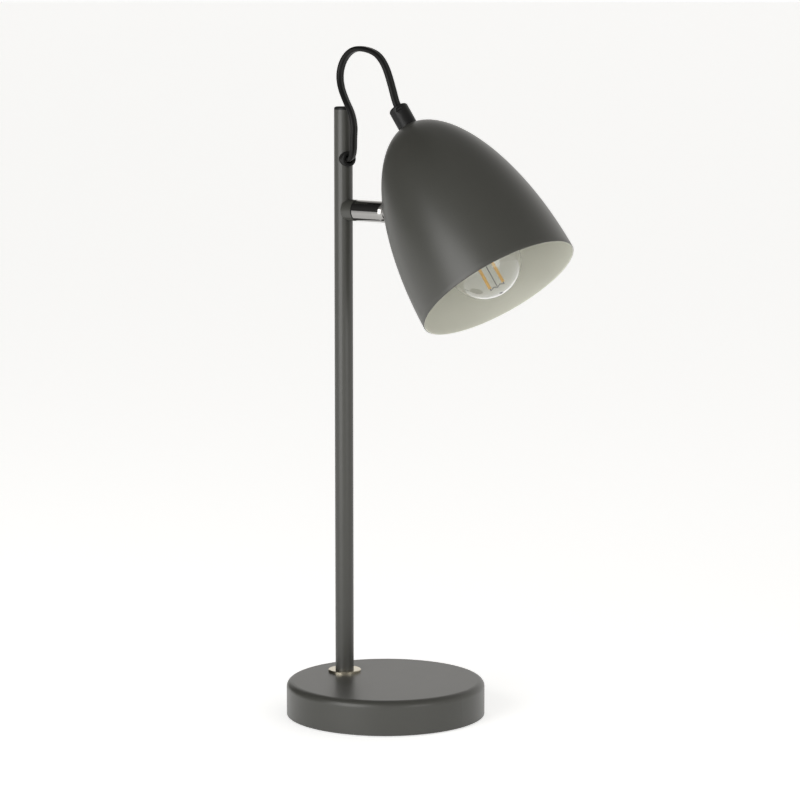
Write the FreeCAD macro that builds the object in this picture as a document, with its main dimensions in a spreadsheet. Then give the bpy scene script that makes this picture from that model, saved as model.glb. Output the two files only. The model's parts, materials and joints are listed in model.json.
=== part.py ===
"""Desk lamp with a round weighted base, a fixed stem and a swivelling bell shade.

The frame has +Z up and its origin at the centre of the base underside, on the table. The arm points
along +X. Three local frames are used: the stem's (Z up its axis), the arm's (Z along world +X from the
stem axis) and the head's (Z from the mouth of the shade to its crown). Lengths are in millimetres.
"""
import FreeCAD, Part
import Sketcher
import math
import os
import re

from FreeCAD import Placement, Rotation, Vector

doc = FreeCAD.newDocument("DeskLamp")
sheet = doc.addObject("Spreadsheet::Sheet", "Sizes")

SIZES = {
    # weighted base
    "base_dia": 150, "base_top": 26.5, "base_edge_round": 5, "base_gap": 0.8,
    "cover_wall": 1.2, "pad_dia": 144, "pad_thick": 1.6, "plate_dia": 146.4, "plate_thick": 1.6,
    "weight_dia": 146.6, "weight_clear": 0.1, "weight_chamfer": 4.5,
    "chamber_dia": 36, "chamber_depth": 12, "channel_width": 9, "channel_depth": 10,
    "base_screw_circle": 55, "base_screw_dia": 4, "base_screw_head": 7.2, "base_screw_len": 14,
    # stem and its foot
    "stem_offset": 41.6, "stem_dia": 14, "stem_wall": 1.2, "stem_top": 455.5,
    "collar_dia": 25, "collar_thick": 1.8, "collar_chamfer": 0.4,
    "insert_thread": 10, "insert_bore": 6.6, "insert_rise": 16, "insert_end": 8,
    "nut_flats": 17, "nut_thick": 5, "foot_washer_dia": 21, "foot_washer_thick": 1.2,
    "cap_dome": 2.4, "cap_round": 1.9, "cap_plug": 8, "plug_fit": 0.05,
    # arm between the stem and the ball
    "arm_height": 380.6, "boss_dia": 16, "boss_back": 4, "boss_end": 13.6,
    "friction_washer": 0.8, "barrel_dia": 16, "barrel_round": 0.5, "barrel_wall_back": 4,
    "barrel_bore": 12.2,
    "pivot_dia": 6, "pivot_fit": 0.05, "pivot_head_dia": 9, "pivot_head_len": 3.5,
    "wave_washer_dia": 11, "wave_washer_thick": 1.1, "hex_socket": 3,
    "ball_reach": 39.1, "ball_dia": 12, "ball_fit": 0.1, "cap_spigot_dia": 14.4, "cap_spigot_len": 5.5,
    "cap_dome_radius": 8.2, "cap_mouth_angle": 54, "seat_fit": 0.1, "seat_len": 6.5,
    "spring_mean_dia": 9, "spring_wire": 1, "spring_pitch": 2.1, "spring_len": 6.4,
    # ball stud through the back wall of the shade
    "stud_standoff": 15.85, "stud_wall_angle": 44.5, "stud_dia": 5, "stud_tail": 9,
    "stud_seat_dia": 12, "stud_seat_thick": 2.6, "stud_plate_dia": 13, "stud_plate_thick": 1.4,
    "stud_nut_flats": 8, "stud_nut_thick": 4,
    # shade
    "head_tilt": 36.9, "shade_mouth_dia": 122.4, "shade_len": 142.5, "shade_wall": 1,
    # cord grip and threaded tube at the crown
    "grip_dia": 14.7, "grip_top": 159, "grip_round": 1.4, "grip_screw_hole": 4.8,
    "grip_screw_drop": 4.4, "grip_screw_sink": 1.1, "grip_screw_turn": -53,
    "grip_screw_slot": 0.8, "grip_bore": 6.8, "grip_funnel": 1.0,
    "tube_thread": 10, "tube_bore": 6.2, "tube_top": 150, "tube_low": 129,
    "lock_washer_dia": 16, "lock_washer_top": 140.2, "lock_washer_thick": 0.8,
    "tube_nut_flats": 14, "tube_nut_thick": 3,
    # lampholder
    "holder_top": 136.3, "holder_neck_dia": 18, "holder_dia": 39, "holder_shoulder": 122,
    "holder_split": 108, "holder_skirt_end": 72, "holder_wall": 2,
    "holder_insert_low": 99.5, "holder_wire_hole": 4, "holder_wire_reach": 11,
    "screw_shell_bore": 27.2, "screw_shell_wall": 0.4, "screw_shell_low": 76,
    # bulb
    "bulb_dia": 56, "bulb_centre": 23.5, "bulb_neck_dia": 24.6, "bulb_neck_at": 71, "glass": 0.9,
    "bulb_cap_dia": 26.2, "bulb_cap_wall": 0.4, "bulb_cap_low": 73, "bulb_cap_high": 93.5,
    "bulb_contact_end": 98,
    "bulb_insulator_dia": 17, "bulb_insulator_high": 96.4, "bulb_contact_dia": 9,
    "filament_dia": 2.3, "filament_len": 38, "filament_low": 2.6, "filament_gap": 10.7,
    "filament_turn": 37, "wire_dia": 0.7,
    # flex
    "flex_width": 6.6, "flex_thick": 4.1, "core_dia": 4, "grommet_turn": -22, "grommet_height": 419,
    "grommet_dia": 11.6, "grommet_neck_dia": 8.4, "grommet_bore": 6.8, "grommet_face": 10.2,
    "grommet_back": 3.9, "grommet_round": 1.2, "flex_start": 6.3,
    "gland_height": 11.2, "gland_dia": 14, "gland_neck_dia": 10.4, "gland_bore": 6.4, "gland_face": 3,
    "gland_depth": 7, "cable_start": 9.4,
}
for row, (alias, size) in enumerate(SIZES.items(), start=1):
    sheet.set(f"A{row}", alias)
    sheet.set(f"B{row}", str(size))
    sheet.setAlias(f"B{row}", alias)
doc.recompute()

sub_parts = []


# ---------------------------------------------------------------- helpers

def bound(text):
    """The expression with every size named on the sheet written as Sizes.name."""
    return re.sub(r"[a-z][a-z_]*[a-z]", lambda word: "Sizes." + word.group() if word.group() in SIZES
                  else word.group(), str(text))


def size(text):
    """The present value of an expression in the sheet's names."""
    return float(sheet.evalExpression(bound(text)))


def bind(item, **properties):
    for name, text in properties.items():
        item.setExpression(name, bound(text))
    return item


def cylinder(dia, low, high, at=(0, 0)):
    """A round bar along local Z between two heights."""
    rod = doc.addObject("Part::Cylinder", "rod")
    bind(rod, Radius=f"({dia}) / 2", Height=f"({high}) - ({low})")
    rod.setExpression("Placement.Base.z", bound(low))
    rod.Placement.Base.x, rod.Placement.Base.y = at
    return rod


def cone(low_dia, high_dia, low, high):
    taper = doc.addObject("Part::Cone", "taper")
    bind(taper, Radius1=f"({low_dia}) / 2", Radius2=f"({high_dia}) / 2", Height=f"({high}) - ({low})")
    taper.setExpression("Placement.Base.z", bound(low))
    return taper


def sphere(dia, centre="0"):
    ball = doc.addObject("Part::Sphere", "ball")
    bind(ball, Radius=f"({dia}) / 2")
    ball.setExpression("Placement.Base.z", bound(centre))
    return ball


def box(length, width, height, corner):
    """A box whose length, width and height are expressions and whose low corner is three of them."""
    block = doc.addObject("Part::Box", "block")
    bind(block, Length=length, Width=width, Height=height)
    for axis, text in zip("xyz", corner):
        block.setExpression(f"Placement.Base.{axis}", bound(text))
    return block


def hexagon(flats, low, high):
    """A six-sided bar given by its width across flats."""
    bar = doc.addObject("Part::Prism", "hexagon")
    bar.Polygon = 6
    bind(bar, Circumradius=f"({flats}) / sqrt(3)", Height=f"({high}) - ({low})")
    bar.setExpression("Placement.Base.z", bound(low))
    return bar


def half_ellipsoid(mouth_dia, length, name):
    """The bell of the shade: half an ellipsoid of revolution on its mouth."""
    bell = doc.addObject("Part::Ellipsoid", name)
    bell.Angle1 = 0
    bell.Angle2 = 90
    return bind(bell, Radius1=length, Radius2=f"({mouth_dia}) / 2", Radius3=f"({mouth_dia}) / 2")


def fuse(*items):
    union = doc.addObject("Part::MultiFuse", "union")
    union.Shapes = list(items)
    return union


def cut(base, *tools):
    """The base less each tool, one after another."""
    for tool in tools:
        remainder = doc.addObject("Part::Cut", "remainder")
        remainder.Base = base
        remainder.Tool = tool
        base = remainder
    return base


def common(*items):
    overlap = doc.addObject("Part::MultiCommon", "overlap")
    overlap.Shapes = list(items)
    return overlap


def turned_pipe(outer, bore, low, high):
    """A tube along local Z: its bore runs just past both ends of the bar it is cut from."""
    return cut(cylinder(outer, low, high), cylinder(bore, f"{low} - 1", f"{high} + 1"))


def turned(name, outline):
    """A body turned about local Z from (radius, height) corners given as expressions."""
    body = doc.addObject("PartDesign::Body", name)
    sketch = body.newObject("Sketcher::SketchObject", name + "_outline")
    plane = next(item for item in body.Origin.OriginFeatures if item.Role == "XZ_Plane")
    sketch.AttachmentSupport = [(plane, "")]
    sketch.MapMode = "FlatFace"
    corners = [Vector(size(radius), size(height), 0) for radius, height in outline]
    count = len(corners)
    for index in range(count):
        sketch.addGeometry(Part.LineSegment(corners[index], corners[(index + 1) % count]), False)
    for index in range(count):
        sketch.addConstraint(Sketcher.Constraint("Coincident", index, 2, (index + 1) % count, 1))
    for index, texts in enumerate(outline):
        for kind, own_axis, text in zip(("DistanceX", "DistanceY"), (-2, -1), texts):
            if size(text) == 0:
                sketch.addConstraint(Sketcher.Constraint("PointOnObject", index, 1, own_axis))
                continue
            number = sketch.addConstraint(Sketcher.Constraint(kind, -1, 1, index, 1, size(text)))
            sketch.setExpression(f"Constraints[{number}]", bound(text))
    spin = body.newObject("PartDesign::Revolution", name + "_turning")
    spin.Profile = sketch
    spin.ReferenceAxis = (sketch, ["V_Axis"])
    spin.Angle = 360
    body.Tip = spin
    return body


def round_edges(base, radius, chosen):
    """Rounds the edges for which chosen(edge) is true."""
    doc.recompute()
    rounding = doc.addObject("Part::Fillet", "rounding")
    rounding.Base = base
    amount = size(radius)
    numbers = [number for number, edge in enumerate(base.Shape.Edges, start=1) if chosen(edge)]
    rounding.Edges = [(number, amount, amount) for number in numbers]
    return rounding


def circle_at(dia, height):
    """A test for the circular edge of that diameter at that local height."""
    radius, level = size(dia) / 2, size(height)

    def matches(edge):
        is_circle = isinstance(edge.Curve, Part.Circle) and abs(edge.Curve.Radius - radius) < 0.01
        return is_circle and abs(edge.Curve.Center.z - level) < 0.01
    return matches


def place(item, frame):
    """Moves an item into a frame from the place it has in its own."""
    item.recompute()
    own = item.Placement
    for path, _ in item.ExpressionEngine:
        if "Placement" in path:
            item.setExpression(path, None)
    item.Placement = frame.multiply(own)
    return item


def part(label, item, frame=None):
    """Names a finished sub-part and puts it in its place."""
    item.Label = label
    if frame is not None:
        place(item, frame)
    sub_parts.append(item)
    return item


def feature(label, shape, frame=None):
    """A sub-part whose shape is set directly, for paths that no primitive follows."""
    item = doc.addObject("Part::Feature", label)
    item.Shape = shape
    return part(label, item, frame)


# ---------------------------------------------------------------- frames

ACROSS = Rotation(Vector(0, 1, 0), 90)
STEM = Placement(Vector(-size("stem_offset"), 0, 0), Rotation())
ARM = Placement(Vector(-size("stem_offset"), 0, size("arm_height")), ACROSS)
BALL = ARM.multVec(Vector(0, 0, size("ball_reach")))

# The stud stands square on the shade's wall at a point given by its angle on the ellipse.
wall_angle = math.radians(size("stud_wall_angle"))
wall_point = Vector(-size("shade_mouth_dia / 2") * math.cos(wall_angle), 0,
                    size("shade_len") * math.sin(wall_angle))
wall_normal = Vector(-math.cos(wall_angle) / size("shade_mouth_dia / 2"), 0,
                     math.sin(wall_angle) / size("shade_len"))
wall_normal.normalize()
ball_in_head = wall_point + wall_normal * size("stud_standoff")

head_turn = Rotation(Vector(0, 1, 0), -size("head_tilt"))
HEAD = Placement(BALL - head_turn.multVec(ball_in_head), head_turn)
STUD_IN_HEAD = Placement(ball_in_head, Rotation(Vector(0, 0, 1), -wall_normal))
STUD = HEAD.multiply(STUD_IN_HEAD)


def around_stem(turn, height):
    """A frame on the stem axis whose Z points out level, turned about the stem from +X."""
    facing = Rotation(Vector(0, 0, 1), size(turn)).multiply(ACROSS)
    return Placement(Vector(0, 0, size(height)), facing)


# ---------------------------------------------------------------- base

STEM_SIDE = (-SIZES["stem_offset"], 0)


def make_base():
    cover = turned("cover_blank", [
        ("base_dia / 2 - cover_wall", "base_gap"), ("base_dia / 2", "base_gap"),
        ("base_dia / 2", "base_top"), ("0", "base_top"),
        ("0", "base_top - cover_wall"), ("base_dia / 2 - cover_wall", "base_top - cover_wall")])
    cover = round_edges(cover, "base_edge_round", circle_at("base_dia", "base_top"))
    cover = round_edges(cover, "base_edge_round - cover_wall",
                        circle_at("base_dia - 2 * cover_wall", "base_top - cover_wall"))
    gland_hole = place(cylinder("gland_neck_dia", "0", "20"), Placement(
        Vector(-size("base_dia / 2") - 10, 0, size("gland_height")), ACROSS))
    part("base_cover", cut(cover, cylinder("insert_thread + 0.4", "base_top - 5", "base_top + 5",
                                           STEM_SIDE), gland_hole))

    floor = "pad_thick + plate_thick"
    roof = "base_top - cover_wall - weight_clear"
    weight = turned("weight_blank", [
        ("0", floor), ("weight_dia / 2", floor), ("weight_dia / 2", f"{roof} - weight_chamfer"),
        ("weight_dia / 2 - weight_chamfer", roof), ("0", roof)])
    chamber = cylinder("chamber_dia", f"{floor} - 1", f"{floor} + chamber_depth", STEM_SIDE)
    stem_hole = cylinder("insert_thread + 0.6", f"{floor} - 1", f"{roof} + 1", STEM_SIDE)
    channel = box("base_dia / 2 - stem_offset", "channel_width", "channel_depth + 1",
                  ("-base_dia / 2", "-channel_width / 2", f"{floor} - 1"))
    gland_room = box("gland_depth + 4", "gland_dia + 3", "gland_height + 5",
                     ("-base_dia / 2 - 2", "-gland_dia / 2 - 1.5", f"{floor} - 1"))
    angles = [0, 120, 240]
    spots = [(size("base_screw_circle") * math.cos(math.radians(angle)),
              size("base_screw_circle") * math.sin(math.radians(angle))) for angle in angles]
    tapped = [cylinder("base_screw_dia", f"{floor} - 1", "pad_thick + base_screw_len", spot)
              for spot in spots]
    part("base_weight", cut(weight, chamber, stem_hole, channel, gland_room, *tapped))

    holes = []
    for number, spot in enumerate(spots, start=1):
        head = cone("base_screw_head", "base_screw_dia", "pad_thick", floor)
        shank = cylinder("base_screw_dia", floor, "pad_thick + base_screw_len")
        recess = cylinder("2", "pad_thick - 1", "pad_thick + 0.8")
        upright = Placement(Vector(*spot, 0), Rotation())
        part(f"base_screw_{number}", cut(fuse(head, shank), recess), upright)
        hole = cone("base_screw_head", "base_screw_dia", "pad_thick", floor)
        holes.append(place(hole, upright))
    part("base_plate", cut(cylinder("plate_dia", "pad_thick", floor), *holes))
    part("base_pad", cylinder("pad_dia", "0", "pad_thick"))


def make_gland():
    """A bush through the back of the base; its lips fit the curve of the cover."""
    axis = Placement(Vector(0, 0, size("gland_height")), ACROSS)
    outside = place(cylinder("gland_dia", "0", "gland_face + 4"), Placement(
        Vector(-size("base_dia / 2 + gland_face"), 0, size("gland_height")), ACROSS))
    outer_lip = cut(outside, cylinder("base_dia", "-5", "base_top"))
    inside = place(cylinder("gland_dia", "0", "gland_depth"), Placement(
        Vector(-size("base_dia / 2"), 0, size("gland_height")), ACROSS))
    inner_lip = common(inside, cylinder("base_dia - 2 * cover_wall", "-5", "base_top"))
    neck = place(cylinder("gland_neck_dia", "0", "gland_depth + 1"), Placement(
        Vector(-size("base_dia / 2 + 1"), 0, size("gland_height")), ACROSS))
    bore = place(cylinder("gland_bore", "-100", "0"), axis)
    part("cord_gland", cut(fuse(outer_lip, neck, inner_lip), bore))


# ---------------------------------------------------------------- stem

def make_stem():
    foot = "base_top + collar_thick"
    bore = "stem_dia - 2 * stem_wall"
    part("stem_collar", turned("collar", [
        ("insert_thread / 2 + 0.1", "base_top"), ("collar_dia / 2", "base_top"),
        ("collar_dia / 2", f"{foot} - collar_chamfer"), ("collar_dia / 2 - collar_chamfer", foot),
        ("insert_thread / 2 + 0.1", foot)]), STEM)

    blank = turned_pipe("stem_dia", bore, foot, "stem_top")
    cord_hole = place(cylinder("grommet_neck_dia", "0", "20"),
                      around_stem("grommet_turn", "grommet_height"))
    arm_hole = place(cylinder("pivot_dia + 0.4", "0", "20"), around_stem("0", "arm_height"))
    part("stem_tube", cut(blank, cord_hole, arm_hole), STEM)

    insert = fuse(cylinder("insert_thread", "insert_end", foot),
                  cylinder(bore, foot, f"{foot} + insert_rise"))
    hollow = cylinder("insert_bore", "insert_end - 1", f"{foot} + insert_rise + 1")
    part("stem_insert", cut(insert, hollow), STEM)

    roof = "pad_thick + plate_thick + chamber_depth"
    washer = turned_pipe("foot_washer_dia", "insert_thread + 0.4", f"{roof} - foot_washer_thick", roof)
    part("stem_washer", washer, STEM)
    nut_top = f"{roof} - foot_washer_thick"
    nut = cut(hexagon("nut_flats", f"{nut_top} - nut_thick", nut_top),
              cylinder("insert_thread", "0", "base_top"))
    part("stem_nut", nut, STEM)

    head = cylinder("stem_dia", "stem_top", "stem_top + cap_dome")
    head = round_edges(head, "cap_round", circle_at("stem_dia", "stem_top + cap_dome"))
    plug = cylinder(f"{bore} - 2 * plug_fit", "stem_top - cap_plug", "stem_top")
    part("stem_cap", fuse(head, plug), STEM)


def make_grommet():
    """A bush with a lip on each side of the tube wall, both shaped to the tube."""
    facing = around_stem("grommet_turn", "grommet_height")
    bore = "stem_dia - 2 * stem_wall"
    lip = place(cylinder("grommet_dia", "0", "grommet_face"), facing)
    lip = round_edges(lip, "grommet_round", lambda edge: isinstance(edge.Curve, Part.Circle)
                      and edge.Curve.Center.distanceToPoint(facing.Base) > 5)
    outer_lip = cut(lip, cylinder("stem_dia", "grommet_height - 20", "grommet_height + 20"))
    inner_lip = cut(place(cylinder("grommet_dia - 2", "grommet_back", "10"), facing),
                    cut(cylinder("40", "grommet_height - 20", "grommet_height + 20"),
                        cylinder(f"{bore} - 0.1", "grommet_height - 21", "grommet_height + 21")))
    neck = place(cylinder("grommet_neck_dia", "grommet_back", "8"), facing)
    hole = place(cylinder("grommet_bore", "0", "20"), facing)
    part("stem_grommet", cut(fuse(outer_lip, neck, inner_lip), hole), STEM)


# ---------------------------------------------------------------- arm

def make_arm():
    boss = cylinder("boss_dia", "boss_back", "boss_end")
    pole = place(cylinder("stem_dia", "-30", "30"), Placement(Vector(), ACROSS))
    tapped = cylinder("pivot_dia", "0", "boss_end + 1")
    part("arm_boss", cut(boss, pole, tapped), ARM)

    back = "boss_end + friction_washer"
    part("friction_washer", turned_pipe("boss_dia - 0.6", "pivot_dia + 0.2", "boss_end", back), ARM)

    front = "ball_reach"
    solid = cylinder("barrel_dia", back, front)
    pivot_hole = cylinder("pivot_dia + 2 * pivot_fit", f"{back} - 1", f"{back} + barrel_wall_back + 1")
    spring_room = cylinder("barrel_bore", f"{back} + barrel_wall_back", f"{front} + 1")
    cap_room = cylinder("cap_spigot_dia", f"{front} - cap_spigot_len", f"{front} + 1")
    barrel = cut(solid, pivot_hole, spring_room, cap_room)
    barrel = round_edges(barrel, "barrel_round", circle_at("barrel_dia", back))
    part("knuckle_barrel", barrel, ARM)

    shelf = f"{back} + barrel_wall_back"
    part("wave_washer", turned_pipe("wave_washer_dia", "pivot_dia + 0.2", shelf,
                                    f"{shelf} + wave_washer_thick"), ARM)
    head_low = f"{shelf} + wave_washer_thick"
    shank = cylinder("pivot_dia", "stem_dia / 2 + 0.4", head_low)
    head = cylinder("pivot_head_dia", head_low, f"{head_low} + pivot_head_len")
    socket = hexagon("hex_socket", f"{head_low} + 1.3", f"{head_low} + pivot_head_len + 1")
    part("pivot_screw", cut(fuse(shank, head), socket), ARM)

    spigot = cylinder("cap_spigot_dia", f"{front} - cap_spigot_len", front)
    dome = common(sphere("2 * cap_dome_radius", front),
                  cylinder("barrel_dia", front, f"{front} + cap_dome_radius"))
    ball_room = sphere("ball_dia + 2 * ball_fit", front)
    entry = cylinder("barrel_bore", f"{front} - cap_spigot_len - 1", front)
    flare = cone("0", "20 * tan(cap_mouth_angle)", front, f"{front} + 10")
    part("knuckle_cap", cut(fuse(spigot, dome), ball_room, entry, flare), ARM)

    seat_front = f"{front} - 2"
    seat = cylinder("barrel_bore - 2 * seat_fit", f"{seat_front} - seat_len", seat_front)
    part("ball_seat", cut(seat, sphere("ball_dia + 2 * ball_fit", front)), ARM)

    coil = Part.makeHelix(size("spring_pitch"), size("spring_len"), size("spring_mean_dia / 2"))
    section = Part.Wire(Part.makeCircle(size("spring_wire / 2"), Vector(size("spring_mean_dia / 2"), 0, 0),
                                        Vector(0, 1, 0)))
    spring = Part.Wire(coil.Edges).makePipeShell([section], True, True)
    spring_low = size(f"{front} - 2 - seat_len - spring_wire / 2 - spring_len")
    feature("ball_spring", spring, ARM.multiply(Placement(Vector(0, 0, spring_low), Rotation())))


# ---------------------------------------------------------------- head

def outside_of_shade():
    return half_ellipsoid("shade_mouth_dia", "shade_len", "bell_outside")


def inside_of_shade():
    return half_ellipsoid("shade_mouth_dia - 2 * shade_wall", "shade_len - shade_wall", "bell_inside")


def make_stud():
    wall = "stud_standoff"
    inner = f"{wall} + shade_wall + stud_plate_thick"
    ball = fuse(sphere("ball_dia"), cylinder("stud_dia", "0", f"{wall} + shade_wall + stud_tail"))
    part("ball_stud", ball, STUD)

    seat = place(cylinder("stud_seat_dia", f"{wall} - stud_seat_thick", f"{wall} + 3"), STUD_IN_HEAD)
    hole = place(cylinder("stud_dia", f"{wall} - 10", f"{wall} + 20"), STUD_IN_HEAD)
    part("stud_seat", cut(seat, outside_of_shade(), hole), HEAD)

    backing = place(cylinder("stud_plate_dia", f"{wall} - 2", inner), STUD_IN_HEAD)
    through = place(cylinder("stud_dia", f"{wall} - 10", f"{wall} + 20"), STUD_IN_HEAD)
    part("stud_plate", cut(common(backing, inside_of_shade()), through), HEAD)

    nut = cut(hexagon("stud_nut_flats", inner, f"{inner} + stud_nut_thick"),
              cylinder("stud_dia", "0", f"{wall} + 20"))
    part("stud_nut", nut, STUD)


def make_shade():
    crown_hole = cylinder("tube_thread + 0.2", "shade_len - 10", "shade_len + 5")
    stud_hole = cylinder("stud_dia + 0.2", "stud_standoff - 5", "stud_standoff + 8")
    shell = cut(outside_of_shade(), inside_of_shade(), crown_hole, place(stud_hole, STUD_IN_HEAD))
    part("shade", shell, HEAD)


def make_crown():
    body = cylinder("grip_dia", "shade_len - 4", "grip_top")
    body = round_edges(body, "grip_round", circle_at("grip_dia", "grip_top"))
    entry = turned("grip_entry", [
        ("0", "tube_top - 1"), ("grip_bore / 2", "tube_top - 1"), ("grip_bore / 2", "grip_top - 3"),
        ("grip_bore / 2 + grip_funnel", "grip_top + 0.5"), ("0", "grip_top + 0.5")])
    thread = cylinder("tube_thread", "shade_len - 5", "tube_top")
    facing = Placement(Vector(0, 0, size("grip_top - grip_screw_drop")),
                       Rotation(Vector(0, 0, 1), size("grip_screw_turn")).multiply(ACROSS))
    screw_hole = place(cylinder("grip_screw_hole", "0", "20"), facing)
    part("cord_grip", cut(body, outside_of_shade(), thread, entry, screw_hole), HEAD)

    screw = cylinder("grip_screw_hole", "grip_bore / 2", "grip_dia / 2 - grip_screw_sink")
    slot = box("grip_screw_slot", "grip_screw_hole", "1",
               ("-grip_screw_slot / 2", "-grip_screw_hole / 2",
                "grip_dia / 2 - grip_screw_sink - grip_screw_slot"))
    part("grip_screw", cut(screw, slot), HEAD.multiply(facing))

    part("crown_tube", turned_pipe("tube_thread", "tube_bore", "tube_low", "tube_top"), HEAD)
    washer_low = "lock_washer_top - lock_washer_thick"
    part("crown_washer", turned_pipe("lock_washer_dia", "tube_thread", washer_low, "lock_washer_top"), HEAD)
    nut = cut(hexagon("tube_nut_flats", f"{washer_low} - tube_nut_thick", washer_low),
              cylinder("tube_thread", "tube_low", "tube_top"))
    part("crown_nut", nut, HEAD)


def make_lampholder():
    part("holder_cap", turned("holder_cap_blank", [
        ("tube_thread / 2", "holder_top"), ("tube_thread / 2", "holder_top - 8"),
        ("holder_neck_dia / 2 - holder_wall", "holder_top - 8"),
        ("holder_dia / 2 - holder_wall", "holder_shoulder - holder_wall"),
        ("holder_dia / 2 - holder_wall", "holder_split"), ("holder_dia / 2", "holder_split"),
        ("holder_dia / 2", "holder_shoulder"), ("holder_neck_dia / 2", "holder_top - 3"),
        ("holder_neck_dia / 2", "holder_top")]), HEAD)

    part("holder_skirt", turned("holder_skirt_blank", [
        ("holder_dia / 2 - holder_wall", "holder_split"),
        ("holder_dia / 2 - holder_wall", "holder_skirt_end"),
        ("holder_dia / 2", "holder_skirt_end"), ("holder_dia / 2", "holder_split")]), HEAD)

    insert_dia = "holder_dia - 2 * holder_wall"
    reach = size("holder_wire_reach")
    wire_holes = [cylinder("holder_wire_hole", "holder_insert_low - 1", "holder_split + 1", (side, 0))
                  for side in (-reach, reach)]
    part("holder_insert", cut(cylinder(insert_dia, "holder_insert_low", "holder_split"), *wire_holes), HEAD)

    shell = cut(cylinder("screw_shell_bore + 2 * screw_shell_wall", "screw_shell_low", "holder_insert_low"),
                cylinder("screw_shell_bore", "screw_shell_low - 1", "holder_insert_low + 1"))
    part("screw_shell", shell, HEAD)

    tongue = box("6", "5", "0.4", ("-3", "-2.5", "bulb_contact_end"))
    rivet = cylinder("3", "bulb_contact_end", "holder_insert_low")
    part("centre_contact", fuse(tongue, rivet), HEAD)


# ---------------------------------------------------------------- bulb

def bulb_form(inset):
    """The bulb's envelope, drawn in by inset: a ball, the cone tangent to it and a short neck."""
    radius = size("bulb_dia / 2") - inset
    neck = size("bulb_neck_dia / 2") - inset
    rise = size("bulb_neck_at - bulb_centre")
    lean = math.asin(radius / math.hypot(neck, rise)) - math.atan2(neck, rise)
    ball = sphere("bulb_dia", "bulb_centre")
    ball.setExpression("Radius", bound(f"bulb_dia / 2 - {inset}"))
    taper = doc.addObject("Part::Cone", "taper")
    taper.Radius1 = radius * math.cos(lean)
    taper.Radius2 = neck
    taper.Placement.Base.z = size("bulb_centre") + radius * math.sin(lean)
    taper.Height = size("bulb_neck_at") - taper.Placement.Base.z
    stub = cylinder(f"bulb_neck_dia - 2 * {inset}", "bulb_neck_at", f"bulb_cap_low + 3 + {inset} * 2")
    return fuse(ball, taper, stub)


def make_bulb():
    part("bulb_glass", cut(bulb_form(0), bulb_form(size("glass"))), HEAD)

    wall = "bulb_cap_wall"
    cap = turned("bulb_cap_blank", [
        (f"bulb_cap_dia / 2 - {wall}", "bulb_cap_low"), ("bulb_cap_dia / 2", "bulb_cap_low"),
        ("bulb_cap_dia / 2", "bulb_cap_high - 3"), ("bulb_insulator_dia / 2", "bulb_cap_high"),
        (f"bulb_insulator_dia / 2 - {wall}", "bulb_cap_high"),
        (f"bulb_cap_dia / 2 - {wall}", f"bulb_cap_high - 3 - {wall} / 2")])
    part("bulb_cap", cap, HEAD)
    part("bulb_insulator", turned("insulator", [
        ("0", "bulb_cap_high"), ("bulb_insulator_dia / 2", "bulb_cap_high"),
        ("bulb_contact_dia / 2", "bulb_insulator_high"), ("0", "bulb_insulator_high")]), HEAD)
    part("bulb_contact", cone("bulb_contact_dia", "bulb_contact_dia - 2", "bulb_insulator_high",
                              "bulb_contact_end"), HEAD)

    top = "filament_low + filament_len"
    part("bulb_mount", turned("mount", [
        ("0", f"{top} + 6"), ("1.6", f"{top} + 6"), ("1.6", f"{top} + 12"), ("3.2", f"{top} + 16"),
        ("3.6", f"{top} + 24"), ("bulb_neck_dia / 2 - glass - 0.05", "bulb_cap_low + 1"),
        ("0", "bulb_cap_low + 1")]), HEAD)

    turn = Rotation(Vector(0, 0, 1), size("filament_turn"))
    filament_frame = HEAD.multiply(Placement(Vector(), turn))
    for number, side in ((1, -1), (2, 1)):
        spot = (side * size("filament_gap / 2"), 0)
        part(f"filament_{number}", cylinder("filament_dia", "filament_low", top, spot), filament_frame)
        feet = [Vector(spot[0], 0, size(top)), Vector(spot[0] * 0.75, 0, size(top) + 4.5),
                Vector(side * 1.0, 0, size(top) + 7)]
        feature(f"lead_wire_{number}", wire_rod(feet), filament_frame)
    half = size("filament_gap / 2")
    low = size("filament_low")
    bridge = [Vector(-half, 0, low), Vector(-half, 0, low - 1.6), Vector(-half * 0.45, 0, low - 0.4),
              Vector(0, 0, low - 1.8), Vector(half * 0.45, 0, low - 0.4), Vector(half, 0, low - 1.6),
              Vector(half, 0, low)]
    feature("bridge_wire", wire_rod(bridge), filament_frame)
    anchor = [Vector(0, 0, low - 1.8 + size("wire_dia")), Vector(0, 0, size(top) + 6)]
    feature("anchor_wire", wire_rod(anchor), filament_frame)


def wire_rod(points):
    """Thin round wire with square-cut runs and a ball at each bend."""
    radius = size("wire_dia / 2")
    rod = None
    for start, end in zip(points, points[1:]):
        run = Part.makeCylinder(radius, start.distanceToPoint(end), start, end - start)
        rod = run if rod is None else rod.fuse(run)
    for bend in points[1:-1]:
        rod = rod.fuse(Part.makeSphere(radius, bend))
    return rod.removeSplitter()


# ---------------------------------------------------------------- flex

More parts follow.
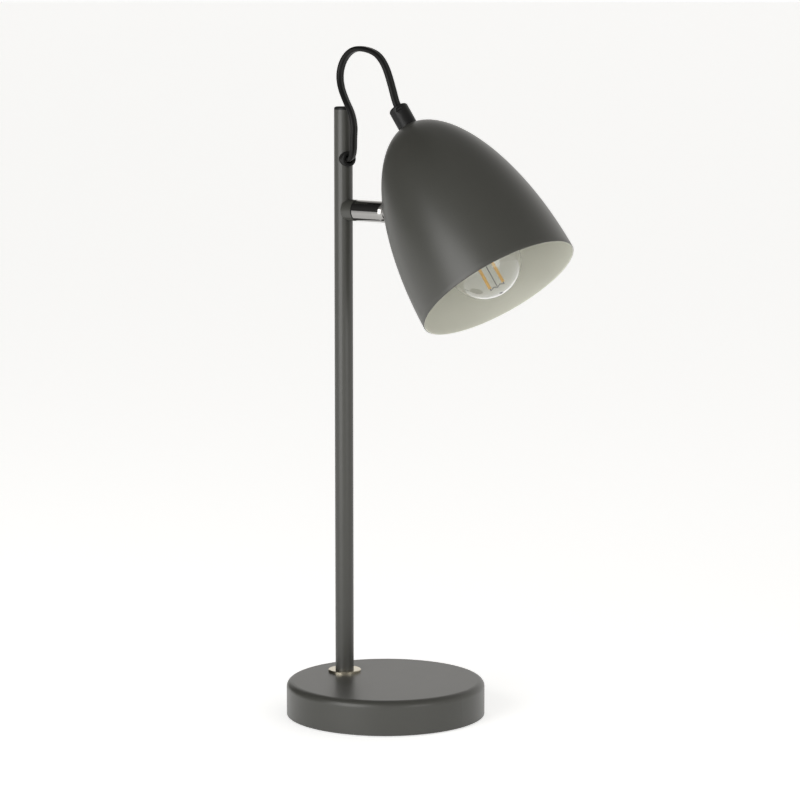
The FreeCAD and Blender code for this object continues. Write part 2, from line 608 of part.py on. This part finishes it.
def smooth_path(points, name):
    """Straight runs joined by tangent arcs, each arc as large as its two runs allow."""
    edges = []
    start = points[0]
    radii = []
    for before, corner, after in zip(points, points[1:], points[2:]):
        back, ahead = before - corner, after - corner
        reach = 0.45 * min(back.Length, ahead.Length)
        turn = math.pi - back.getAngle(ahead)
        radii.append(reach / math.tan(turn / 2))
        back.normalize()
        ahead.normalize()
        entry, leave = corner + back * reach, corner + ahead * reach
        sag = radii[-1] * (1 / math.cos(turn / 2) - 1)
        middle = back + ahead
        middle.normalize()
        edges.append(Part.LineSegment(start, entry).toShape())
        edges.append(Part.Arc(entry, corner + middle * sag, leave).toShape())
        start = leave
    edges.append(Part.LineSegment(start, points[-1]).toShape())
    path = Part.Wire(edges)
    print(f"{name}: length {path.Length:.1f}, radii", " ".join(f"{radius:.1f}" for radius in radii))
    return path


def flat_section(start, way, across, width, thick):
    """The outline of a flat twin flex, square to its way: two flats joined by half rounds."""
    way.normalize()
    side = across - way * across.dot(way)
    side.normalize()
    up = way.cross(side)
    half, bulge = side * ((width - thick) / 2), side * (width / 2)
    rise = up * (thick / 2)
    left_low, left_high = start - half - rise, start - half + rise
    right_low, right_high = start + half - rise, start + half + rise
    return Part.Wire([
        Part.LineSegment(left_low, right_low).toShape(),
        Part.Arc(right_low, start + bulge, right_high).toShape(),
        Part.LineSegment(right_high, left_high).toShape(),
        Part.Arc(left_high, start - bulge, left_low).toShape(),
    ])


def sweep(label, points, section, area):
    path = smooth_path(points, label)
    solid = path.makePipeShell([section], True, False)
    print(f"{label}: volume over section times length {solid.Volume / (area * path.Length):.4f}")
    return feature(label, solid)


def flex(label, points):
    """A stretch of the flat flex from the crest, where it lies with its width level."""
    width, thick = size("flex_width"), size("flex_thick")
    section = flat_section(points[0], points[1] - points[0], Vector(0, 1, 0), width, thick)
    return sweep(label, points, section, thick * (width - thick) + math.pi * thick ** 2 / 4)


def cable(label, points, dia):
    section = Part.Wire(Part.makeCircle(dia / 2, points[0], points[1] - points[0]))
    return sweep(label, points, section, math.pi * dia ** 2 / 4)


GROMMET = STEM.multiply(around_stem("grommet_turn", "grommet_height"))
GRIP_ENTRY = HEAD.multVec(Vector(0, 0, size("tube_top + 3")))

# World points of the flex. It leaves the grommet straight, climbs in front of the stem, passes over the
# stem's top, where its two tubes meet, and comes down to the grip in line with it.
FLEX_RISE = [
    (-29.1, -5.05, 419.0), (-25.3, -6.9, 425.2), (-24.7, -7.5, 434.7), (-23.8, -7.7, 443.6),
    (-26.7, -7.3, 453.5), (-33.7, -5.6, 462.0), (-40.9, -3.0, 471.4), (-44.1, -1.2, 480.4),
    (-43.2, -0.1, 488.7), (-38.8, 0.2, 495.8), (-31.5, 0.1, 500.4), (-22.9, 0.0, 501.2),
]
FLEX_CREST = (-17.9, 0.0, 500.25)
FLEX_FALL = [
    (-12.9, 0.0, 499.3), (-5.8, 0.0, 495.8), (0.9, 0.0, 487.6), (6.3, 0.0, 474.0), (11.05, 0.0, 459.6),
]


def make_flex():
    start = GROMMET.multVec(Vector(0, 0, size("flex_start")))
    crest = Vector(*FLEX_CREST)
    rise = [Vector(*point) for point in FLEX_RISE]
    fall = [Vector(*point) for point in FLEX_FALL]
    flex("flex_lower", [crest] + rise[::-1] + [start])
    flex("flex_upper", [crest] + fall + [GRIP_ENTRY])


def make_inner_cable():
    """The flex's cores where the lamp hides them: up the stem, and from the grip into the holder."""
    stem_x = -size("stem_offset")
    flex_end = GROMMET.multVec(Vector(0, 0, size("flex_start")))
    corner = GROMMET.multVec(Vector(0, 0, -2.5))
    points = [
        Vector(-size("base_dia / 2 - cable_start"), 0, size("gland_height")),
        Vector(-58, 0, 8.0), Vector(-50, 0, 5.8), Vector(stem_x, 0, 5.6),
        Vector(stem_x + 0.2, 0.1, 60), Vector(corner.x, corner.y, 200), corner, flex_end,
    ]
    cable("stem_cable", points, size("core_dia"))
    part("head_cable", cylinder("core_dia", "tube_low - 4", "tube_top + 3"), HEAD)


# ---------------------------------------------------------------- build, check and write

make_base()
make_gland()
make_stem()
make_grommet()
make_arm()
make_stud()
make_shade()
make_crown()
make_lampholder()
make_bulb()
make_flex()
make_inner_cable()
doc.recompute()

for item in doc.Objects:
    if any(word in item.State for word in ("Invalid", "Error")):
        raise RuntimeError(f"{item.Name} ({item.Label}) is {item.State}")
for item in sub_parts:
    if item.Shape.isNull() or not item.Shape.isValid() or item.Shape.Volume <= 0:
        raise RuntimeError(f"{item.Label} has no valid solid")

os.makedirs("parts", exist_ok=True)
for item in sub_parts:
    item.Shape.exportStep(f"parts/{item.Label}.step")
print(len(sub_parts), "sub-parts written")
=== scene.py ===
"""Looks of the desk lamp: grey satin paint, chrome knuckle, cream shade lining, flat black flex and a clear
filament bulb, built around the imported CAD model. Lengths are in metres, angles in degrees."""
import json
import math

import bpy
from mathutils import Matrix, Vector


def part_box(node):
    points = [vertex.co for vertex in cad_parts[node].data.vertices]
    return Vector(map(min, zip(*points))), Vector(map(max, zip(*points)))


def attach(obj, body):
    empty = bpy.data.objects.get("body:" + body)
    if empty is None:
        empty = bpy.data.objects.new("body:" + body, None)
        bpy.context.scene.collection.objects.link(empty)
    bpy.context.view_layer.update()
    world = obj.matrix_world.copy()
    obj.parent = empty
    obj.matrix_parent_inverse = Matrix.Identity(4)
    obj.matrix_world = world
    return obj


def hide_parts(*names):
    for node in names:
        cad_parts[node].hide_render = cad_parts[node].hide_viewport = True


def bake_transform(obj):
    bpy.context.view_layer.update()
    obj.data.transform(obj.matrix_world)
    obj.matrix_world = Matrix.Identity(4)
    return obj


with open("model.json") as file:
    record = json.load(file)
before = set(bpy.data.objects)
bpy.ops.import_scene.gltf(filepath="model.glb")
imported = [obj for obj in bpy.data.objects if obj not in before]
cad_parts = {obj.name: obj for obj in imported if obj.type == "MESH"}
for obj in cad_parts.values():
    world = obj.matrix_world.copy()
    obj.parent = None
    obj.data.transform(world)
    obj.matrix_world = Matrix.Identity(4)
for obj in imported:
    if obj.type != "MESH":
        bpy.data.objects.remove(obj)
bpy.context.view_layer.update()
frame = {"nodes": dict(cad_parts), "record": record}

NODES = frame["nodes"]
MM = 0.001


# ---------------------------------------------------------------- camera and light

CAMERA_PLACE = (1.4618, -1.6840, 0.5386)
CAMERA_AZIMUTH = 40.68
CAMERA_PITCH = 7.63
CAMERA_LENS = 135.2
SENSOR_WIDTH = 36
VIEW_REACH = 1000

# Ways that the studio is darkened or brightened, seen from the lamp.
BACKDROP_WAY = (-0.652, 0.758, 0.0)
FLAG_WAY = (-0.906, -0.423, 0.0)
STUDIO_WARMTH = (1.0, 0.985, 0.955, 1)
WHITE = (1, 1, 1, 1)
STUDIO_FRONT = 0.85
STUDIO_BACK = 1.0
STUDIO_TOP = 0.3
FLAG_DARK = 0.08
FLAG_FLATTEN = 0.25
LAMP_MIDDLE = (0.0, 0.0, 0.28)
SHADE_MIDDLE = (0.09, 0.0, 0.34)
FLOOR_HALF = 300.0
FLOOR_COLOUR = (0.93, 0.93, 0.92)
FLOOR_GLOW = 0.55


def make_camera():
    data = bpy.data.cameras.new("camera")
    data.lens = CAMERA_LENS
    data.sensor_width = SENSOR_WIDTH
    data.clip_end = VIEW_REACH
    camera = bpy.data.objects.new("camera", data)
    camera.location = CAMERA_PLACE
    camera.rotation_euler = (math.radians(90 - CAMERA_PITCH), 0, math.radians(CAMERA_AZIMUTH))
    bpy.context.scene.collection.objects.link(camera)
    bpy.context.scene.camera = camera


def area_light(name, azimuth, height, distance, size, power, target=LAMP_MIDDLE):
    """A soft box that looks at the lamp. Azimuth 0 stands on the -Y side and turns towards +X."""
    data = bpy.data.lights.new(name, "AREA")
    data.shape = "RECTANGLE"
    data.size, data.size_y = size
    data.energy = power
    light = bpy.data.objects.new(name, data)
    turn = math.radians(azimuth)
    light.location = (distance * math.sin(turn), -distance * math.cos(turn), height)
    aim = Vector(target) - light.location
    light.rotation_euler = aim.to_track_quat("-Z", "Y").to_euler()
    bpy.context.scene.collection.objects.link(light)


def vector_math(tree, operation, source, other=None):
    """A vector node fed by source, with other as its fixed second vector."""
    node = tree.nodes.new("ShaderNodeVectorMath")
    node.operation = operation
    tree.links.new(source, node.inputs[0])
    if other:
        node.inputs[1].default_value = other
    return node


def smooth_step(tree, source, low, high, first=0.0, last=1.0):
    """First where source is under low, last where it is over high, and a smooth change between them."""
    node = tree.nodes.new("ShaderNodeMapRange")
    node.interpolation_type = "SMOOTHSTEP"
    node.inputs["From Min"].default_value = low
    node.inputs["From Max"].default_value = high
    node.inputs["To Min"].default_value = first
    node.inputs["To Max"].default_value = last
    tree.links.new(source, node.inputs["Value"])
    return node.outputs["Result"]


def background(tree, colour):
    node = tree.nodes.new("ShaderNodeBackground")
    node.inputs["Color"].default_value = colour
    return node


def make_world():
    """White to the camera; to everything else a studio with a dark flag at the front left."""
    world = bpy.data.worlds.new("studio")
    bpy.context.scene.world = world
    world.use_nodes = True
    tree = world.node_tree
    nodes, links = tree.nodes, tree.links
    nodes.clear()
    direction = nodes.new("ShaderNodeTexCoord").outputs["Generated"]

    behind = vector_math(tree, "DOT_PRODUCT", direction, BACKDROP_WAY)
    wall = smooth_step(tree, behind.outputs["Value"], 0.1, 0.9, STUDIO_FRONT, STUDIO_BACK)

    split = nodes.new("ShaderNodeSeparateXYZ")
    links.new(direction, split.inputs["Vector"])
    level = nodes.new("ShaderNodeMix")
    level.inputs["B"].default_value = STUDIO_TOP
    links.new(smooth_step(tree, split.outputs["Z"], 0.25, 0.95), level.inputs["Factor"])
    links.new(wall, level.inputs["A"])

    flat_way = vector_math(tree, "MULTIPLY", direction, (1.0, 1.0, FLAG_FLATTEN))
    flat_way = vector_math(tree, "NORMALIZE", flat_way.outputs["Vector"])
    aside = vector_math(tree, "DOT_PRODUCT", flat_way.outputs["Vector"], FLAG_WAY)
    shaded = nodes.new("ShaderNodeMath")
    shaded.operation = "MULTIPLY"
    links.new(level.outputs["Result"], shaded.inputs[0])
    links.new(smooth_step(tree, aside.outputs["Value"], 0.45, 0.8, 1.0, FLAG_DARK), shaded.inputs[1])

    studio = background(tree, STUDIO_WARMTH)
    links.new(shaded.outputs["Value"], studio.inputs["Strength"])
    backdrop = background(tree, WHITE)
    ray = nodes.new("ShaderNodeLightPath")
    choice = nodes.new("ShaderNodeMixShader")
    output = nodes.new("ShaderNodeOutputWorld")
    links.new(ray.outputs["Is Camera Ray"], choice.inputs["Fac"])
    links.new(studio.outputs["Background"], choice.inputs[1])
    links.new(backdrop.outputs["Background"], choice.inputs[2])
    links.new(choice.outputs["Shader"], output.inputs["Surface"])


def make_studio():
    make_world()
    area_light("softbox_left", azimuth=-3, height=0.45, distance=1.6, size=(1.2, 1.6), power=21)
    area_light("fill_right", azimuth=78, height=0.28, distance=1.2, size=(0.5, 0.4), power=1.4,
               target=SHADE_MIDDLE)
    floor = flat_ground("floor", FLOOR_HALF)
    floor.data.materials.append(material("floor_white", FLOOR_COLOUR, roughness=0.9,
                                         Emission_Color=WHITE, Emission_Strength=FLOOR_GLOW))
    bpy.context.scene.view_settings.view_transform = "Standard"


def flat_ground(name, half):
    """A flat square on the ground."""
    mesh = bpy.data.meshes.new(name)
    corners = [(-half, -half, 0), (half, -half, 0), (half, half, 0), (-half, half, 0)]
    mesh.from_pydata(corners, [], [(0, 1, 2, 3)])
    ground = bpy.data.objects.new(name, mesh)
    bpy.context.scene.collection.objects.link(ground)
    return ground


# ---------------------------------------------------------------- materials

def srgb(red, green, blue):
    """A linear colour from 0 to 255 display values."""
    def channel(value):
        value /= 255
        return value / 12.92 if value <= 0.04045 else ((value + 0.055) / 1.055) ** 2.4
    return channel(red), channel(green), channel(blue)


def material(name, colour, roughness, metallic=0.0, mottle=0.0, mottle_scale=60, grain=0.0,
             grain_scale=1500, grain_depth=0.00002, **sockets):
    """A Principled material whose colour and roughness vary a little over the surface, with fine relief."""
    made = bpy.data.materials.new(name)
    made.use_nodes = True
    nodes, links = made.node_tree.nodes, made.node_tree.links
    shader = nodes["Principled BSDF"]
    shader.inputs["Base Color"].default_value = (*colour, 1)
    shader.inputs["Roughness"].default_value = roughness
    shader.inputs["Metallic"].default_value = metallic
    for socket, value in sockets.items():
        shader.inputs[socket.replace("_", " ")].default_value = value
    place = nodes.new("ShaderNodeTexCoord")
    if mottle:
        cloud = nodes.new("ShaderNodeTexNoise")
        cloud.inputs["Scale"].default_value = mottle_scale
        cloud.inputs["Detail"].default_value = 4
        links.new(place.outputs["Object"], cloud.inputs["Vector"])
        tone = nodes.new("ShaderNodeMix")
        tone.data_type = "RGBA"
        tone.inputs["A"].default_value = (*(part * (1 - mottle) for part in colour), 1)
        tone.inputs["B"].default_value = (*(part * (1 + mottle) for part in colour), 1)
        links.new(cloud.outputs["Fac"], tone.inputs["Factor"])
        links.new(tone.outputs["Result"], shader.inputs["Base Color"])
        gloss = nodes.new("ShaderNodeMapRange")
        gloss.inputs["To Min"].default_value = roughness * (1 - mottle)
        gloss.inputs["To Max"].default_value = min(1, roughness * (1 + mottle))
        links.new(cloud.outputs["Fac"], gloss.inputs["Value"])
        links.new(gloss.outputs["Result"], shader.inputs["Roughness"])
    if grain:
        relief = nodes.new("ShaderNodeTexNoise")
        relief.inputs["Scale"].default_value = grain_scale
        relief.inputs["Detail"].default_value = 2
        links.new(place.outputs["Object"], relief.inputs["Vector"])
        bump = nodes.new("ShaderNodeBump")
        bump.inputs["Strength"].default_value = grain
        bump.inputs["Distance"].default_value = grain_depth
        links.new(relief.outputs["Fac"], bump.inputs["Height"])
        links.new(bump.outputs["Normal"], shader.inputs["Normal"])
    return made


MATERIALS = {
    "grey_paint": material("grey_paint", srgb(60, 60, 56), 0.36, mottle=0.03, grain=0.25,
                           grain_scale=1100),
    "cream_paint": material("cream_paint", srgb(214, 214, 202), 0.5, mottle=0.02, grain=0.25,
                            grain_scale=1100),
    "chrome": material("chrome", (0.34, 0.335, 0.325), 0.07, metallic=1, mottle=0.04, mottle_scale=200),
    "nickel": material("nickel", srgb(200, 192, 172), 0.24, metallic=1, mottle=0.05, mottle_scale=200),
    "black_plastic": material("black_plastic", srgb(16, 16, 16), 0.42, mottle=0.05, grain=0.4,
                              grain_scale=2500, Specular_IOR_Level=0.3),
    "black_rubber": material("black_rubber", srgb(15, 15, 14), 0.55, mottle=0.08, grain=0.5,
                             grain_scale=1800, Specular_IOR_Level=0.3),
    "zinc_steel": material("zinc_steel", srgb(186, 187, 184), 0.34, metallic=1, mottle=0.08,
                           mottle_scale=300, grain=0.2),
    "brass": material("brass", srgb(205, 170, 105), 0.28, metallic=1, mottle=0.06, mottle_scale=250),
    "cast_iron": material("cast_iron", srgb(62, 61, 60), 0.75, mottle=0.15, grain=0.8, grain_scale=500,
                          grain_depth=0.0002),
    "pad_rubber": material("pad_rubber", srgb(38, 38, 38), 0.85, mottle=0.15, grain=0.8,
                           grain_scale=900, grain_depth=0.0001),
    "holder_plastic": material("holder_plastic", srgb(36, 36, 37), 0.35, mottle=0.04, grain=0.2),
    "porcelain": material("porcelain", srgb(226, 223, 214), 0.25, mottle=0.02, mottle_scale=90),
    "bulb_metal": material("bulb_metal", srgb(196, 196, 192), 0.3, metallic=1, mottle=0.06,
                           mottle_scale=400),
    "black_glass": material("black_glass", srgb(26, 26, 28), 0.12, mottle=0.03),
    "clear_glass": material("clear_glass", (1, 1, 1), 0.0, grain=0.08, grain_scale=90, grain_depth=0.0001,
                            Transmission_Weight=1.0, IOR=1.46),
    "filament": material("filament", srgb(250, 196, 84), 0.55, mottle=0.12, mottle_scale=900,
                         grain=0.6, grain_scale=3000),
    "wire": material("wire", srgb(120, 118, 112), 0.35, metallic=1, mottle=0.05),
    "cable_sheath": material("cable_sheath", srgb(40, 40, 40), 0.5, mottle=0.05),
    "flex_sheath": material("flex_sheath", srgb(12, 12, 11), 0.42, mottle=0.06, mottle_scale=300,
                            grain=0.35, grain_scale=2600, grain_depth=0.00004,
                            Specular_IOR_Level=0.2),
}


# ---------------------------------------------------------------- mesh helpers

def new_object(name, verts, faces, materials):
    mesh = bpy.data.meshes.new(name)
    mesh.from_pydata([tuple(v) for v in verts], [], faces)
    mesh.update()
    for face in mesh.polygons:
        face.use_smooth = True
    made = bpy.data.objects.new(name, mesh)
    bpy.context.scene.collection.objects.link(made)
    for item in materials:
        mesh.materials.append(item)
    return made


def lathe(name, profile, materials, place, segments, slots):
    """Turns a closed (radius, height) outline about local Z. slots gives a material number for each step."""
    verts, faces, numbers = [], [], []
    for radius, height in profile:
        for step in range(segments):
            turn = 2 * math.pi * step / segments
            verts.append(place @ Vector((radius * math.cos(turn), radius * math.sin(turn), height)))
    count = len(profile)
    for ring in range(count):
        upper = (ring + 1) % count
        for step in range(segments):
            beside = (step + 1) % segments
            faces.append((ring * segments + step, ring * segments + beside,
                          upper * segments + beside, upper * segments + step))
            numbers.append(slots[ring])
    made = new_object(name, verts, faces, materials)
    for face, number in zip(made.data.polygons, numbers):
        face.material_index = number
    return made


def stand_for(piece, body, slot, *nodes):
    """The piece takes the place of CAD nodes and rides on their body."""
    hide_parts(*nodes)
    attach(piece, body)


# ---------------------------------------------------------------- frames from the CAD model

def axis_of(*names):
    """The line through the centres of two round nodes, from the first towards the second."""
    centres = [sum((Vector(corner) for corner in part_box(name)), Vector()) / 2 for name in names]
    return centres[0], (centres[1] - centres[0]).normalized()


CROWN, HEAD_UP = axis_of("bulb_contact", "crown_nut")
HEAD_TILT = math.atan2(-HEAD_UP.x, HEAD_UP.z)


# ---------------------------------------------------------------- shade

SHADE_MOUTH = 61.2 * MM
SHADE_LENGTH = 142.5 * MM
SHADE_WALL = 1.0 * MM
CROWN_HOLE = 5.1 * MM
BELL_STEPS = 72
BELL_SEGMENTS = 192


def head_frame():
    """The head's frame: Z from the middle of the mouth to the crown."""
    turn = Matrix.Rotation(-HEAD_TILT, 4, "Y")
    base = min((turn.inverted() @ vert.co).z for vert in NODES["shade"].data.vertices)
    middle = turn.inverted() @ CROWN
    return turn @ Matrix.Translation(Vector((middle.x, 0, base)))


def make_shade():
    place = head_frame()
    rim = SHADE_WALL / 2

    def bell(mouth, length, index):
        angle = math.radians(90) * index / BELL_STEPS
        return mouth * math.cos(angle), length * math.sin(angle)

    outside = [bell(SHADE_MOUTH, SHADE_LENGTH, index) for index in range(BELL_STEPS)]
    outside = [point for point in outside if point[0] > CROWN_HOLE]
    inside = [bell(SHADE_MOUTH - SHADE_WALL, SHADE_LENGTH - SHADE_WALL, index) for index in range(BELL_STEPS)]
    inside = [point for point in inside if point[0] > CROWN_HOLE]
    inside.reverse()
    rounded = [(SHADE_MOUTH - rim + rim * math.cos(turn), rim * math.sin(turn))
               for turn in (math.radians(200 + 20 * step) for step in range(7))]
    profile = outside + inside + rounded
    half = len(rounded) // 2
    slots = [0] * len(outside) + [1] * (len(inside) + half) + [0] * (len(rounded) - half)
    shade = lathe("shade_shell", profile, [MATERIALS["grey_paint"], MATERIALS["cream_paint"]], place,
                  BELL_SEGMENTS, slots)
    stand_for(shade, "head", "grey_paint", "shade")


# ---------------------------------------------------------------- flex

FLEX_WIDTH = 6.6 * MM
FLEX_THICK = 4.1 * MM
# The route of the flex, in millimetres, as its CAD pieces have it.
FLEX_POINTS = [
    (-35.76, -2.36, 419.0), (-29.1, -5.05, 419.0), (-25.3, -6.9, 425.2), (-24.7, -7.5, 434.7),
    (-23.8, -7.7, 443.6), (-26.7, -7.3, 453.5), (-33.7, -5.6, 462.0), (-40.9, -3.0, 471.4),
    (-44.1, -1.2, 480.4), (-43.2, -0.1, 488.7), (-38.8, 0.2, 495.8), (-31.5, 0.1, 500.4),
    (-22.9, 0.0, 501.2), (-12.9, 0.0, 499.3), (-5.8, 0.0, 495.8), (0.9, 0.0, 487.6),
    (6.3, 0.0, 474.0), (11.05, 0.0, 459.6), (15.89, 0.0, 453.13),
]
CREST = Vector((-17.9, 0.0, 500.25)) * MM
SHEATH_STEPS = 64
SHEATH_GAP = 0.5 * MM
SHEATH_GROOVE = 0.16 * MM
SHEATH_GROOVE_WIDTH = 0.55 * MM
FLAT_SHARPNESS = 3.5


def spline_points():
    """Points along the smooth line of the flex, read from its NURBS spline."""
    curve = bpy.data.curves.new("flex_line", "CURVE")
    curve.dimensions = "3D"
    curve.resolution_u = 40
    spline = curve.splines.new("NURBS")
    spline.points.add(len(FLEX_POINTS) - 1)
    for point, spot in zip(spline.points, FLEX_POINTS):
        point.co = (*(number * MM for number in spot), 1)
    spline.order_u = 3
    spline.use_endpoint_u = True
    carrier = bpy.data.objects.new("flex_line", curve)
    mesh = bpy.data.meshes.new_from_object(carrier)
    line = [vert.co.copy() for vert in mesh.vertices]
    bpy.data.objects.remove(carrier)
    bpy.data.meshes.remove(mesh)
    bpy.data.curves.remove(curve)
    return line


def evenly(line, gap):
    """The line's points at an even spacing, near to gap."""
    lengths = [0.0]
    for before, after in zip(line, line[1:]):
        lengths.append(lengths[-1] + (after - before).length)
    count = max(2, round(lengths[-1] / gap))
    points, index = [], 0
    for step in range(count + 1):
        want = lengths[-1] * step / count
        while index < len(line) - 2 and lengths[index + 1] < want:
            index += 1
        span = lengths[index + 1] - lengths[index]
        share = (want - lengths[index]) / span if span else 0
        points.append(line[index].lerp(line[index + 1], min(1, share)))
    return points


def carried_sides(points, crest):
    """The direction of the flex's width at each point, carried without twist from the crest."""
    sides = [None] * len(points)
    sides[crest] = Vector((0, 1, 0))
    for indices in (range(crest + 1, len(points)), range(crest - 1, -1, -1)):
        side = sides[crest]
        for index in indices:
            ahead = way_at(points, index)
            side = (side - ahead * side.dot(ahead)).normalized()
            sides[index] = side
    return sides


def way_at(points, index):
    """The way the line runs at one of its points."""
    return (points[min(index + 1, len(points) - 1)] - points[max(index - 1, 0)]).normalized()


def sheath_outline():
    """Across and up for each step round the sheath: two flats with half rounds and a shallow valley."""
    outline = []
    for step in range(SHEATH_STEPS):
        turn = 2 * math.pi * step / SHEATH_STEPS
        flat = math.tanh(FLAT_SHARPNESS * math.cos(turn)) / math.tanh(FLAT_SHARPNESS)
        across = FLEX_THICK / 2 * math.cos(turn) + (FLEX_WIDTH - FLEX_THICK) / 2 * flat
        up = FLEX_THICK / 2 * math.sin(turn)
        valley = SHEATH_GROOVE * math.exp(-(across / SHEATH_GROOVE_WIDTH) ** 2)
        outline.append((across, up - math.copysign(valley, up)))
    return outline


def sheath(name, points, sides):
    """A flat twin flex along the points, its width along the given sides."""
    outline = sheath_outline()
    verts, faces = [], []
    for index, (point, side) in enumerate(zip(points, sides)):
        up = way_at(points, index).cross(side)
        verts.extend(point + side * across + up * rise for across, rise in outline)
    for ring in range(len(points) - 1):
        for step in range(SHEATH_STEPS):
            beside = (step + 1) % SHEATH_STEPS
            faces.append((ring * SHEATH_STEPS + step, ring * SHEATH_STEPS + beside,
                          (ring + 1) * SHEATH_STEPS + beside, (ring + 1) * SHEATH_STEPS + step))
    return new_object(name, verts, faces, [MATERIALS["flex_sheath"]])


def make_flex():
    line = evenly(spline_points(), SHEATH_GAP)
    crest = min(range(len(line)), key=lambda index: (line[index] - CREST).length)
    sides = carried_sides(line, crest)
    stretches = (
        ("flex_rise", "flex_lower", "stand", "knuckle", slice(0, crest + 1)),
        ("flex_fall", "flex_upper", "knuckle", "head", slice(crest, None)),
    )
    for name, node, fixed, moving, part in stretches:
        points = line[part]
        piece = sheath(name, points, sides[part])
        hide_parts(node)
        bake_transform(piece)


# ---------------------------------------------------------------- CAD nodes that stay

def dress_nodes():
    """Gives every CAD node that shows the material of its slot."""
    for entry in frame["record"]["subparts"]:
        data = NODES[entry["node"]].data
        data.materials.clear()
        data.materials.append(MATERIALS[entry["material_slot"]])


# ---------------------------------------------------------------- build

make_camera()
make_studio()
dress_nodes()
make_shade()
make_flex()
